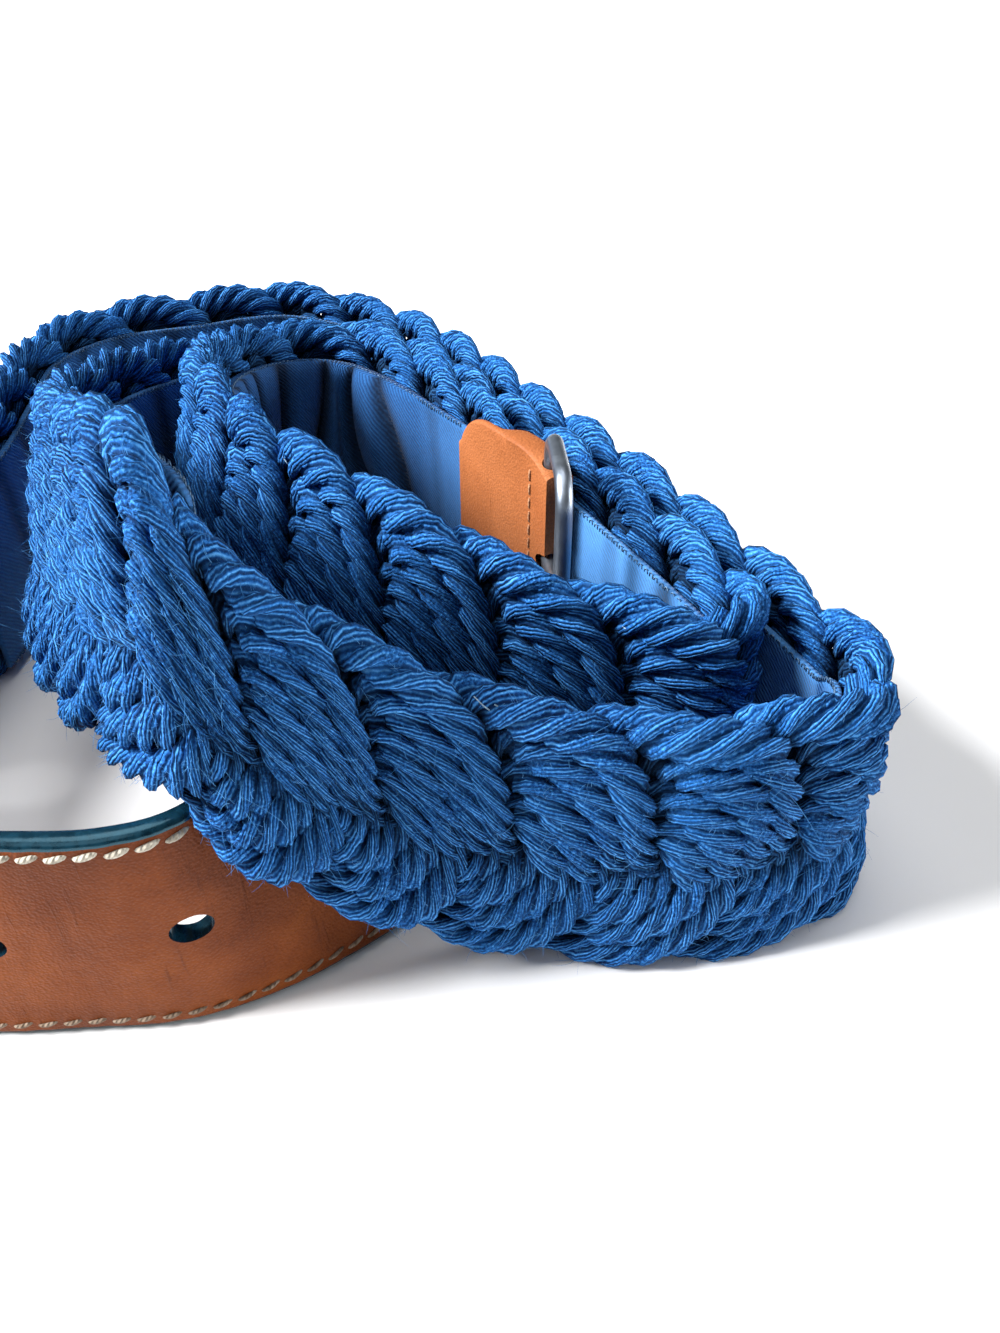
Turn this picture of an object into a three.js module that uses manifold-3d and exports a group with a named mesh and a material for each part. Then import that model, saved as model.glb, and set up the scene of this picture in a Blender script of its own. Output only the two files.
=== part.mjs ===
// A wide plaited fabric belt, coiled up and standing on its edge, with a leather billet strap.
// Millimetres, +Z up. The side with the billet strap in the foreground faces -Y.
import * as THREE from 'three';
import Module from 'manifold-3d';

// Plait
const BAND_WIDTH = 44;
const CELL_PITCH = 19.5; // one bulge of the plait, per row
const CELL_START = 14; // where along the belt the first notch of the upper row stands
const EDGE_NOTCH = 1.8; // depth of the scallops in both edges
const INNER_FACE = -2.9; // flat face under the lining
const VALLEY = 2.1; // outer face in the grooves
const BULGE = 2.5; // and how much higher the strands stand between them
const STATION_SHARES = [0, 0.3, 0.7]; // of the half pitch between two notches

// Lining
const LINING_GAP = 0.35;
const LINING_WALL = 0.9;
const LINING_MARGIN = 2.6;
const FOLD_PITCH = 11;
const LINING_STEP = 5.9;
const LINING_START = 24;

// Leather
const STRAP_WIDTH = 38;
const STRAP_WALL = 3;
const STRAP_STEP = 4.8;
const TIP_LENGTH = 11;
const TIP_HALF_WIDTH = 8;
const HOLE_LONG = 5.6;
const HOLE_HIGH = 4.6;
const HOLE_PITCH = 25.4;
const FIRST_HOLE = 38.5; // from the tip
const HOLES = 5;
const TAB_WIDTH = 40;
const TAB_STEP = 2.4;
const TAB_WALL = 1.7;
const TAB_FOLD = 5; // both layers, past the end of the plait
const TAB_CORNER = 11;
const TAB_TAPER = 2.5; // off either side at the fold

// Buckle
const FRAME_WIRE = 1.4; // half of the frame's depth
const FRAME_HEIGHT = 48;
const FRAME_LENGTH = 20;
const PRONG_HALF = 1.5;

// The middle line of the plait's lower edge, from the joint with the strap to the inner end.
// lift raises the lower edge off the table, lean tips the crest towards the coil's middle
// (degrees), soft is the share of the full thickness and fold the depth of the lining's pleats.
const ROUTE = [
  // x, y, lift, lean, soft, fold
  [-104, 138, 0, 0, 0.7, 0],
  [-102, 160, 0, 0, 0.8, 0],
  [-103, 185, 0, 0, 1, 0.8],
  [-107, 212, 0, 0, 1, 0.8],
  [-109, 234, 1, 0, 1, 0.8],
  [-99, 251, 2, 0, 1, 0.8],
  [-80, 261, 2, 0, 1, 0.8],
  [-56, 270, 2, 0, 1, 0.8],
  [-30, 260, 0, 0, 1, 0.5],
  [-8, 229.5, 0, 0, 1, 0],
  [9, 196.5, 0, 0, 1, 0],
  [26.5, 162.3, 0, 0, 1, 0],
  [43.5, 132, 0, 4, 1, 0],
  [52.5, 116, 0, 7, 1, 0],
  [52.5, 108, 0, 4, 1, 0],
  [47, 101.5, 0, 1, 1, 0],
  [37, 97.5, 0, 1, 1, 0.3],
  [24, 94.5, 0, 2, 1, 0.5],
  [10, 95, 1, 3, 1, 0.5],
  [-2, 94, 4, 5, 1, 0.3],
  [-12, 91.5, 10, 8, 1, 0.3],
  [-22, 88, 19, 9, 1, 0.3],
  [-31, 86.3, 28, 8, 1, 0.3],
  [-37, 87.2, 37, 8, 1, 0.3],
  [-44, 92.5, 39, 10, 1, 0.5],
  [-52, 100.5, 36.5, 14, 1, 0.8],
  [-60.5, 112, 32, 16, 1, 0.8],
  [-70.5, 127, 27, 17, 1, 0.8],
  [-78.5, 145, 22.5, 16, 1, 0.8],
  [-80, 169, 17, 10, 1, 0.8],
  [-72.5, 200, 10, 3, 1, 0.8],
  [-58, 228, 4, 0, 1, 0.5],
  [-38, 240, 2, 0, 1, 0.3],
  [-17.5, 224, 2, 0, 1, 0],
  [0, 193.3, 2, 0, 1, 0],
  [16, 162.3, 2, 0, 1, 0.3],
  [30.5, 135, 2, 2, 1, 0.6],
  [37, 121, 2, 4, 1, 0.4],
  [31, 112.5, 2, 4, 1, 0.5],
  [15, 114, 4, 5, 1, 0.6],
  [0, 114.5, 9, 10, 1, 0.6],
  [-15, 116.5, 15, 15, 1, 0.6],
  [-31, 121.5, 19, 20, 1, 0.6],
  [-47.5, 134, 22, 20, 1, 0.6],
  [-57.5, 155, 22, 17, 1, 0.8],
  [-61.5, 178, 18, 12, 1, 1],
  [-58, 203, 12, 6, 1, 1],
  [-47, 219.5, 8, 1, 1, 1.2],
  [-33, 223, 6, 0, 1, 1.2],
  [-20, 210.5, 6, 0, 0.95, 1],
  [-9.5, 194, 6, 0, 0.75, 0.4],
  [-2.5, 182.2, 6, 0, 0.5, 0],
  [2, 173.5, 6, 0, 0.45, 0],
];

// The strap's lower edge, from its overlap outside the plait to the tip behind the coil.
const STRAP_ROUTE = [
  // x, y, lift, lean
  [-107.2, 160.5, 0, 0],
  [-108, 149, 0, 0],
  [-109.8, 138, 0, 0],
  [-112, 125, 0, 0],
  [-111, 110, 0, 0],
  [-105, 97, 0, 0],
  [-95, 87.6, 0, 0],
  [-82.5, 82.8, 0, 0],
  [-68.8, 81.9, 0, 0],
  [-56, 82.7, 0, -2],
  [-47, 83.3, 0, -2],
  [-39, 85.2, 0, 5],
  [-30, 89.2, 0, 15],
  [-22, 94.6, 0, 17],
  [-14.5, 100.4, 0, 17],
  [-7.5, 105, 0, 16],
];

// The leather end tab: from its rounded edge on the lining to the fold around the buckle.
const TAB_ROUTE = [
  // x, y, lift, lean
  [-7.2, 182.3, 10, 0],
  [-3.1, 174.5, 10, 0],
  [1.9, 167.4, 10, 0],
  [6, 161.5, 10, 0],
  [8.7, 155.5, 10, 0],
];

// The bar of the buckle inside the fold, and the way the frame points from there
const BAR = { x: 8.9, y: 159, lift: 6, heading: -87 };

// Every point of a route in between its rows, evenly spaced in the index.
function curve(rows, stepsPerRow = 16) {
  const first = rows[0].map((value, k) => 2 * value - rows[1][k]);
  const last = rows.at(-1).map((value, k) => 2 * value - rows.at(-2)[k]);
  const all = [first, ...rows, last];
  const points = [];
  for (let i = 1; i < all.length - 2; i++) {
    for (let step = 0; step < stepsPerRow; step++) {
      const t = step / stepsPerRow;
      points.push(all[i].map((b, k) => {
        const a = all[i - 1][k];
        const c = all[i + 1][k];
        const d = all[i + 2][k];
        return 0.5 * (2 * b + (c - a) * t + (2 * a - 5 * b + 4 * c - d) * t * t
          + (3 * b - a - 3 * c + d) * t * t * t);
      }));
    }
  }
  points.push([...rows.at(-1)]);
  return points;
}

// A route measured along its length. side is +1 where the outer face is on the left of the travel.
function makeTrack(rows, side = 1) {
  const points = curve(rows);
  const along = [0];
  for (let i = 1; i < points.length; i++) {
    const [a, b] = [points[i - 1], points[i]];
    along.push(along[i - 1] + Math.hypot(b[0] - a[0], b[1] - a[1], b[2] - a[2]));
  }
  const length = along.at(-1);
  const values = (s) => {
    const target = Math.min(Math.max(s, 0), length);
    let i = 1;
    while (i < along.length - 1 && along[i] < target) i++;
    const t = (target - along[i - 1]) / (along[i] - along[i - 1]);
    return points[i].map((value, k) => points[i - 1][k] * (1 - t) + value * t);
  };
  // The belt's own axes at s: up runs across the belt to its crest, out through its thickness.
  const axes = (s) => {
    const here = values(s);
    const before = values(s - 2.5);
    const after = values(s + 2.5);
    const go = new THREE.Vector3(after[0] - before[0], after[1] - before[1], 0).normalize();
    const level = new THREE.Vector3(-go.y * side, go.x * side, 0);
    const lean = THREE.MathUtils.degToRad(here[3]);
    const up = new THREE.Vector3(0, 0, Math.cos(lean)).addScaledVector(level, -Math.sin(lean));
    const out = level.clone().multiplyScalar(Math.cos(lean)).add(new THREE.Vector3(0, 0, Math.sin(lean)));
    return { origin: new THREE.Vector3(here[0], here[1], here[2]), go, up, out, soft: here[4], fold: here[5] };
  };
  return { length, axes };
}

// A closed body over rings with the same number of corners, with its faces turned outward.
function loft(rings) {
  const size = rings[0].length;
  const positions = rings.flat().flatMap((p) => [p.x, p.y, p.z]);
  const index = [];
  for (let i = 0; i < rings.length - 1; i++) {
    for (let j = 0; j < size; j++) {
      const a = i * size + j;
      const b = i * size + ((j + 1) % size);
      index.push(a, b, a + size, b, b + size, a + size);
    }
  }
  const cap = (base, turned) => {
    for (let low = 0, high = size - 1; low + 1 < high;) {
      const triangle = (low + size - 1 - high) % 2 === 0 ? [low, low + 1, high] : [low, high - 1, high];
      if ((low + size - 1 - high) % 2 === 0) low++; else high--;
      if (turned) triangle.reverse();
      index.push(...triangle.map((corner) => base + corner));
    }
  };
  cap(0, true);
  cap((rings.length - 1) * size, false);
  return outward(positions, index);
}

// Turns all faces round where the enclosed volume comes out negative.
function outward(positions, index) {
  let volume = 0;
  const at = (i) => new THREE.Vector3().fromArray(positions, i * 3);
  for (let i = 0; i < index.length; i += 3) {
    volume += at(index[i]).dot(at(index[i + 1]).cross(at(index[i + 2])));
  }
  const geometry = new THREE.BufferGeometry();
  geometry.setAttribute('position', new THREE.Float32BufferAttribute(positions, 3));
  geometry.setIndex(volume > 0 ? index : [...index].reverse());
  return geometry;
}

function ringAt(axes, corners) {
  return corners.map(([v, w]) => axes.origin.clone().addScaledVector(axes.up, v).addScaledVector(axes.out, w));
}

// How full a strand stands at a place along the belt: 0 in the groove, 1 in the middle of its bulge.
function fullness(s, shift) {
  const phase = (s - CELL_START) / CELL_PITCH + shift;
  return Math.abs(Math.sin(Math.PI * phase)) ** 0.7;
}

function plaitStations(length) {
  const stations = [0];
  const half = CELL_PITCH / 2;
  for (let cell = Math.floor(-CELL_START / half); cell * half + CELL_START < length; cell++) {
    for (const share of STATION_SHARES) {
      const s = CELL_START + (cell + share) * half;
      if (s > 1.2 && s < length - 1.2) stations.push(s);
    }
  }
  stations.push(length);
  return stations.filter((s, i) => i === 0 || i === stations.length - 1 || s - stations[i - 1] > 1);
}

function plaitSection(s, soft) {
  const upper = fullness(s, 0);
  const lower = fullness(s, 0.5);
  const deep = (full) => (VALLEY + BULGE * full) * soft;
  const crest = BAND_WIDTH - EDGE_NOTCH * (1 - upper);
  const foot = EDGE_NOTCH * (1 - lower);
  const inner = INNER_FACE * soft;
  return [
    [foot + 3.2, inner],
    [foot, -1.5 * soft],
    [foot, 1.5 * soft],
    [foot + 3, deep(lower) * 0.82],
    [10.5, deep(lower)],
    [19, deep(lower) * 0.9],
    [25, deep(upper) * 0.9],
    [33.5, deep(upper)],
    [crest - 3, deep(upper) * 0.82],
    [crest, 1.5 * soft],
    [crest, -1.5 * soft],
    [crest - 3.2, inner],
  ];
}

function plait(track) {
  return loft(plaitStations(track.length).map((s) => {
    const axes = track.axes(s);
    return ringAt(axes, plaitSection(s, axes.soft));
  }));
}

// The lining lies on the inner face, with soft upright pleats where the coil leaves it room.
function lining(track) {
  const span = track.length - LINING_START - 2;
  const steps = Math.round(span / LINING_STEP);
  const rings = [];
  for (let i = 0; i <= steps; i++) {
    const s = LINING_START + (span * i) / steps;
    const axes = track.axes(s);
    const face = INNER_FACE * axes.soft - LINING_GAP;
    const pleat = (axes.fold * (1 - Math.cos((2 * Math.PI * s) / FOLD_PITCH))) / 2;
    const back = face - LINING_WALL;
    rings.push(ringAt(axes, [
      [LINING_MARGIN, face],
      [LINING_MARGIN, back],
      [BAND_WIDTH / 2, back - pleat],
      [BAND_WIDTH - LINING_MARGIN, back - pleat * 0.7],
      [BAND_WIDTH - LINING_MARGIN, face],
      [BAND_WIDTH / 2, face],
    ]));
  }
  return loft(rings);
}

function strapBody(track) {
  const steps = Math.round(track.length / STRAP_STEP);
  const rings = [];
  for (let i = 0; i <= steps; i++) {
    const s = (track.length * i) / steps;
    const fromTip = Math.max(0, 1 - (track.length - s) / TIP_LENGTH);
    const half = STRAP_WIDTH / 2 - (STRAP_WIDTH / 2 - TIP_HALF_WIDTH) * fromTip ** 1.6;
    const middle = STRAP_WIDTH / 2;
    const face = STRAP_WALL / 2;
    const round = 0.6;
    rings.push(ringAt(track.axes(s), [
      [middle - half + round, -face],
      [middle - half, -face + round],
      [middle - half, face - round],
      [middle - half + round, face],
      [middle + half - round, face],
      [middle + half, face - round],
      [middle + half, -face + round],
      [middle + half - round, -face],
    ]));
  }
  return loft(rings);
}

// An oval plug through the strap, a little longer than the strap is thick.
function holePlug(track, s) {
  const axes = track.axes(s);
  const plugRing = (depth) => Array.from({ length: 12 }, (_, k) => {
    const turn = (2 * Math.PI * k) / 12;
    return axes.origin.clone()
      .addScaledVector(axes.go, (Math.cos(turn) * HOLE_LONG) / 2)
      .addScaledVector(axes.up, STRAP_WIDTH / 2 + (Math.sin(turn) * HOLE_HIGH) / 2)
      .addScaledVector(axes.out, depth);
  });
  return loft([plugRing(-4), plugRing(4)]);
}

// The tab is thin where it lies on the lining and as thick as two layers past the plait's end.
function tabBody(track) {
  const steps = Math.round(track.length / TAB_STEP);
  const rings = [];
  for (let i = 0; i <= steps; i++) {
    const s = (track.length * i) / steps;
    const near = Math.max(0, 1 - s / TAB_CORNER);
    const far = Math.max(0, 1 - (track.length - s) / TAB_CORNER);
    const cut = TAB_CORNER * (1 - Math.sqrt(1 - Math.min(near, 0.94) ** 2)) + TAB_TAPER * far ** 1.4;
    const thicken = THREE.MathUtils.smoothstep(s, 14, 17.5);
    const outer = TAB_WALL / 2 + (TAB_FOLD - TAB_WALL) * thicken;
    const low = cut;
    const high = TAB_WIDTH - cut;
    const inner = -TAB_WALL / 2;
    rings.push(ringAt(track.axes(s), [
      [low + 0.6, inner], [low, inner + 0.6], [low, outer - 0.6], [low + 0.6, outer],
      [high - 0.6, outer], [high, outer - 0.6], [high, inner + 0.6], [high - 0.6, inner],
    ]));
  }
  return loft(rings);
}

// A round bar between two points, with as many sides as given.
function bar(from, to, radius, sides = 10) {
  const go = to.clone().sub(from).normalize();
  const one = new THREE.Vector3(Math.abs(go.z) > 0.9 ? 1 : 0, 0, Math.abs(go.z) > 0.9 ? 0 : 1).cross(go).normalize();
  const two = go.clone().cross(one);
  const ring = (middle) => Array.from({ length: sides }, (_, k) => {
    const turn = (2 * Math.PI * k) / sides;
    return middle.clone().addScaledVector(one, Math.cos(turn) * radius).addScaledVector(two, Math.sin(turn) * radius);
  });
  return loft([ring(from), ring(to)]);
}

function buckleBasis() {
  const heading = THREE.MathUtils.degToRad(BAR.heading);
  const go = new THREE.Vector3(Math.cos(heading), Math.sin(heading), 0);
  const foot = new THREE.Vector3(BAR.x, BAR.y, BAR.lift);
  const out = new THREE.Vector3(-go.y, go.x, 0);
  const at = (forward, height, outwards = 0) => foot.clone()
    .addScaledVector(go, forward).add(new THREE.Vector3(0, 0, height)).addScaledVector(out, outwards);
  return at;
}

// The frame is one rounded loop in the tab's plane; its first upright is the bar in the fold.
function frameLoop(at, wire) {
  const corner = 5;
  const path = [];
  const corners = [
    [FRAME_LENGTH - corner, corner, -90], [FRAME_LENGTH - corner, FRAME_HEIGHT - corner, 0],
    [corner, FRAME_HEIGHT - corner, 90], [corner, corner, 180],
  ];
  for (const [forward, height, start] of corners) {
    for (let k = 0; k <= 4; k++) {
      const turn = THREE.MathUtils.degToRad(start + (90 * k) / 4);
      path.push([forward + Math.cos(turn) * corner, height + Math.sin(turn) * corner]);
    }
  }
  const sides = 8;
  const positions = [];
  const index = [];
  path.forEach(([forward, height], i) => {
    const previous = path[(i + path.length - 1) % path.length];
    const next = path[(i + 1) % path.length];
    const go = new THREE.Vector2(next[0] - previous[0], next[1] - previous[1]).normalize();
    for (let k = 0; k < sides; k++) {
      const turn = (2 * Math.PI * (k + 0.5)) / sides;
      const across = Math.cos(turn) * wire;
      const p = at(forward + go.y * across, height - go.x * across, Math.sin(turn) * wire);
      positions.push(p.x, p.y, p.z);
      const a = i * sides + k;
      const b = i * sides + ((k + 1) % sides);
      const c = ((i + 1) % path.length) * sides + k;
      const d = ((i + 1) % path.length) * sides + ((k + 1) % sides);
      index.push(a, b, c, b, d, c);
    }
  });
  return outward(positions, index);
}

const wasm = await Module();
wasm.setup();

function solid(geometry) {
  return new wasm.Manifold(new wasm.Mesh({
    numProp: 3,
    vertProperties: new Float32Array(geometry.attributes.position.array),
    triVerts: new Uint32Array(geometry.index.array),
  }));
}

function geometryOf(body) {
  const mesh = body.getMesh();
  const geometry = new THREE.BufferGeometry();
  geometry.setAttribute('position', new THREE.BufferAttribute(new Float32Array(mesh.vertProperties), 3));
  geometry.setIndex(new THREE.BufferAttribute(new Uint32Array(mesh.triVerts), 1));
  return geometry;
}

function buildBelt() {
  const band = makeTrack(ROUTE);
  const strapTrack = makeTrack(STRAP_ROUTE, -1);
  const tabTrack = makeTrack(TAB_ROUTE);

  let strap = solid(strapBody(strapTrack));
  for (let hole = 0; hole < HOLES; hole++) {
    strap = strap.subtract(solid(holePlug(strapTrack, strapTrack.length - FIRST_HOLE - hole * HOLE_PITCH)));
  }

  const at = buckleBasis();
  const middle = FRAME_HEIGHT / 2;
  const prong = bar(at(0, middle), at(FRAME_LENGTH, middle), PRONG_HALF, 8);
  const buckle = solid(frameLoop(at, FRAME_WIRE)).add(solid(prong));
  const bore = bar(at(0, -1), at(0, FRAME_HEIGHT + 1), FRAME_WIRE + 0.3, 12);
  const slot = bar(at(-2.4, middle), at(FRAME_LENGTH, middle), PRONG_HALF + 1, 8);
  const tab = solid(tabBody(tabTrack)).subtract(solid(bore)).subtract(solid(slot));

  const parts = [
    ['braided_band', plait(band), 0x2f5f9e, 0.95, 0],
    ['twill_lining', lining(band), 0x3a6cab, 0.95, 0],
    ['holed_strap', geometryOf(strap), 0x9a5528, 0.55, 0],
    ['buckle_tab', geometryOf(tab), 0xb5682f, 0.6, 0],
    ['buckle', geometryOf(buckle), 0xb9bcc0, 0.3, 1],
  ];
  const group = new THREE.Group();
  group.name = 'plaited_belt';
  for (const [name, geometry, color, roughness, metalness] of parts) {
    geometry.computeVertexNormals();
    const mesh = new THREE.Mesh(geometry, new THREE.MeshStandardMaterial({ color, roughness, metalness }));
    mesh.name = name;
    group.add(mesh);
  }

  // The route is measured from the viewer; here the box is centred and stands on z = 0.
  const box = new THREE.Box3().setFromObject(group);
  const centre = box.getCenter(new THREE.Vector3());
  for (const mesh of group.children) mesh.geometry.translate(-centre.x, -centre.y, -box.min.z);
  return group;
}

export default buildBelt();
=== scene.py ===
"""Looks of the plaited belt: twisted ropes, pleated twill lining, stitched leather and a metal buckle."""
import math

import bmesh
import bpy
import numpy as np
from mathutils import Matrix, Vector


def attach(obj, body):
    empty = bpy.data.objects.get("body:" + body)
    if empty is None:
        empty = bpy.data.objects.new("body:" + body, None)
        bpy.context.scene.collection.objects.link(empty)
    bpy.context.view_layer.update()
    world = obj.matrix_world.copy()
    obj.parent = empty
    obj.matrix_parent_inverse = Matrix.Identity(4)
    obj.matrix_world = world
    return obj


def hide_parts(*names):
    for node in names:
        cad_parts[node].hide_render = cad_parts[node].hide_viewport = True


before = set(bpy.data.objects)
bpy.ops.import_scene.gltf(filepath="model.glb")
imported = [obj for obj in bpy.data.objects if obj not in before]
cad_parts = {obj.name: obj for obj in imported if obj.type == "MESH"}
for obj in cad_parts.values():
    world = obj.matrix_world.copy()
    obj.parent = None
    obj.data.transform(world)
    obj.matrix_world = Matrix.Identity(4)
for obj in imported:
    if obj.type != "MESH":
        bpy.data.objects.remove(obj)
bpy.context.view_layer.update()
rng = np.random.default_rng(7)

MM = 0.001
ROUTE_STEPS = 16  # points from one row of a route to the next
ROPE_STEPS = 14  # and of a rope
GO_REACH = 2.5  # a route's direction is taken over this length to either side
SHIFT = np.array([28.600, -177.110, 0.0])  # from the route's own plan to the part's frame

# Plait
BAND_WIDTH = 44.0
CELL_PITCH = 19.5
CELL_START = 14.0
CROSS_SHIFT = 0.1  # of a cell: from the notch in the edge to the groove at half height
FRONT = 2.2  # height of a rope's middle over the band's middle, where it lies on top
BACK = -0.7  # and where it lies below
ROPE_THICK = 2.3  # half of a rope's depth
CREST_SWELL = 0.24  # ropes are this much thicker where they turn over the crest
TWIST_PITCH = 18.0
PLIES = 4
PLY_PROFILE = (1.0, 0.87, 0.52, 0.87)  # from the top of a ply to the next
RING = PLIES * len(PLY_PROFILE)  # corners round a rope
ROPE_STEP = 1.5
ROPE_HALF_WIDTHS = (3.2, 3.6, 3.0)  # the outermost rope above, the others above, every rope below
STRAND_PHASE, ROPE_PHASE = 1.7, 2.9  # keep the ropes from twisting alike
BAND_END = 0.8  # the ropes stop this far from the band's ends
YARNS = 28  # round one rope
RIB_PITCH = 0.00095  # of the twill, in metres

# Lining
INNER_FACE = -2.9
LINING_GAP = 0.35
LINING_WALL = 0.9
LINING_MARGIN = 2.6  # at the foot
LINING_CREST = 5.6  # at the crest, where the ropes turn over above it
LINING_WIDTH = BAND_WIDTH - LINING_CREST - LINING_MARGIN
LINING_START, LINING_END = 24.0, 2.0  # from the band's start and from its end
FOLD_PITCH = 15.0
INNER_TURN = 790.0  # from here on the lining faces the open middle of the coil

# Leather
STRAP_WIDTH = 38.0
STRAP_WALL = 3.0
TIP_LENGTH = 11.0
TIP_HALF_WIDTH = 8.0
HOLE_LONG = 5.6
HOLE_HIGH = 4.6
HOLE_PITCH = 25.4
FIRST_HOLE = 38.5
HOLES = 5
HOLE_SIDES = 28
STITCH_PITCH = 3.3
STITCH_INSET = 2.3
STRAP_RIM = 1.1
STRAP_FACE, STRAP_EDGE = 25, 9  # corners of its section on a face and on an edge
SHARP_ANGLE = math.radians(35)
TAB_WIDTH = 40.0
TAB_WALL = 1.7
TAB_FOLD = 5.0
TAB_CORNER = 11.0
TAB_TAPER = 2.5
TAB_RIM = 0.7
TAB_FACE, TAB_EDGE = 15, 7
TAB_RISE, TAB_RISE_LONG = 14.0, 3.5  # where the tab grows from one layer to two, and over what length

# Buckle
FRAME_WIRE = 1.4
FRAME_HEIGHT = 48.0
FRAME_LENGTH = 20.0
PRONG_HALF = 1.5
FRAME_CORNER = 5.0
WIRE_SIDES = 20
BAR_X, BAR_Y, BAR_LIFT, BAR_HEADING = 8.9, 159.0, 6.0, -87.0

# The same routes as in the part's source: x, y, lift, lean, share of thickness, depth of pleats
ROUTE = [
    (-104, 138, 0, 0, 0.7, 0), (-102, 160, 0, 0, 0.8, 0), (-103, 185, 0, 0, 1, 0.8),
    (-107, 212, 0, 0, 1, 0.8), (-109, 234, 1, 0, 1, 0.8), (-99, 251, 2, 0, 1, 0.8),
    (-80, 261, 2, 0, 1, 0.8), (-56, 270, 2, 0, 1, 0.8), (-30, 260, 0, 0, 1, 0.5),
    (-8, 229.5, 0, 0, 1, 0), (9, 196.5, 0, 0, 1, 0), (26.5, 162.3, 0, 0, 1, 0),
    (43.5, 132, 0, 4, 1, 0), (52.5, 116, 0, 7, 1, 0), (52.5, 108, 0, 4, 1, 0),
    (47, 101.5, 0, 1, 1, 0), (37, 97.5, 0, 1, 1, 0.3), (24, 94.5, 0, 2, 1, 0.5),
    (10, 95, 1, 3, 1, 0.5), (-2, 94, 4, 5, 1, 0.3), (-12, 91.5, 10, 8, 1, 0.3),
    (-22, 88, 19, 9, 1, 0.3), (-31, 86.3, 28, 8, 1, 0.3), (-37, 87.2, 37, 8, 1, 0.3),
    (-44, 92.5, 39, 10, 1, 0.5), (-52, 100.5, 36.5, 14, 1, 0.8), (-60.5, 112, 32, 16, 1, 0.8),
    (-70.5, 127, 27, 17, 1, 0.8), (-78.5, 145, 22.5, 16, 1, 0.8), (-80, 169, 17, 10, 1, 0.8),
    (-72.5, 200, 10, 3, 1, 0.8), (-58, 228, 4, 0, 1, 0.5), (-38, 240, 2, 0, 1, 0.3),
    (-17.5, 224, 2, 0, 1, 0), (0, 193.3, 2, 0, 1, 0), (16, 162.3, 2, 0, 1, 0.3),
    (30.5, 135, 2, 2, 1, 0.6), (37, 121, 2, 4, 1, 0.4), (31, 112.5, 2, 4, 1, 0.5),
    (15, 114, 4, 5, 1, 0.6), (0, 114.5, 9, 10, 1, 0.6), (-15, 116.5, 15, 15, 1, 0.6),
    (-31, 121.5, 19, 20, 1, 0.6), (-47.5, 134, 22, 20, 1, 0.6), (-57.5, 155, 22, 17, 1, 0.8),
    (-61.5, 178, 18, 12, 1, 1), (-58, 203, 12, 6, 1, 1), (-47, 219.5, 8, 1, 1, 1.2),
    (-33, 223, 6, 0, 1, 1.2), (-20, 210.5, 6, 0, 0.95, 1), (-9.5, 194, 6, 0, 0.75, 0.4),
    (-2.5, 182.2, 6, 0, 0.5, 0), (2, 173.5, 6, 0, 0.45, 0),
]
STRAP_ROUTE = [
    (-107.2, 160.5, 0, 0), (-108, 149, 0, 0), (-109.8, 138, 0, 0), (-112, 125, 0, 0),
    (-111, 110, 0, 0), (-105, 97, 0, 0), (-95, 87.6, 0, 0), (-82.5, 82.8, 0, 0),
    (-68.8, 81.9, 0, 0), (-56, 82.7, 0, -2), (-47, 83.3, 0, -2), (-39, 85.2, 0, 0),
    (-30, 89.2, 0, 8), (-22, 94.6, 0, 14), (-14.5, 100.4, 0, 17), (-7.5, 105, 0, 16),
]
TAB_ROUTE = [
    (-7.2, 182.3, 10, 0), (-3.1, 174.5, 10, 0), (1.9, 167.4, 10, 0), (6, 161.5, 10, 0),
    (8.7, 155.5, 10, 0),
]

# One bulge of the plait, seen from outside: u in pitches to the right, v in mm over the middle,
# w from 0 below to 1 on top. Four ropes each, from the edge towards the middle.
UPPER_ROPES = [
    [(-0.42, 14.5, -0.1), (-0.22, 18.4, 0), (-0.02, 19.7, 0.35), (0.18, 20.1, 0.8), (0.43, 19.8, 1),
     (0.68, 18.2, 1), (0.84, 14.8, 1.02), (0.94, 10, 1.04), (1.0, 4, 0.95), (1.05, -2.5, 0.45)],
    [(-0.01, 12.8, 0), (0.14, 14.9, 0.35), (0.27, 15.2, 0.85), (0.43, 14.2, 1.1), (0.6, 11.8, 1.15),
     (0.73, 8, 1.15), (0.82, 2.8, 1.02), (0.88, -3.8, 0.45)],
    [(0.01, 8.8, 0), (0.14, 10.3, 0.35), (0.25, 10.1, 0.8), (0.38, 8.2, 1.1), (0.5, 5.2, 1.12),
     (0.61, 0.8, 1.02), (0.69, -6, 0.45)],
    [(0.03, 4.2, 0), (0.13, 5.5, 0.35), (0.23, 4.6, 0.75), (0.33, 1.4, 0.98), (0.41, -2.4, 0.92), (0.48, -7.6, 0.4)],
]
LOWER_ROPES = [
    [(-0.42, -14.5, -0.1), (-0.22, -18.2, 0), (-0.02, -19.6, 0.35), (0.2, -20, 0.82), (0.54, -19.2, 1),
     (0.8, -16.8, 1.02), (1.0, -13.2, 1), (1.16, -8.6, 0.85), (1.28, -3.4, 0.35)],
    [(-0.06, -13.4, 0), (0.1, -15.5, 0.4), (0.26, -16, 0.9), (0.48, -14.9, 1.06), (0.7, -12.2, 1.06),
     (0.9, -8.4, 0.88), (1.06, -3.8, 0.35)],
    [(0.0, -11.2, 0), (0.14, -12.4, 0.4), (0.32, -11.7, 0.95), (0.56, -8.9, 0.92), (0.78, -4.6, 0.35)],
    [(0.02, -8, 0), (0.14, -8.9, 0.35), (0.32, -7.7, 0.85), (0.54, -4.6, 0.35)],
]


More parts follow.
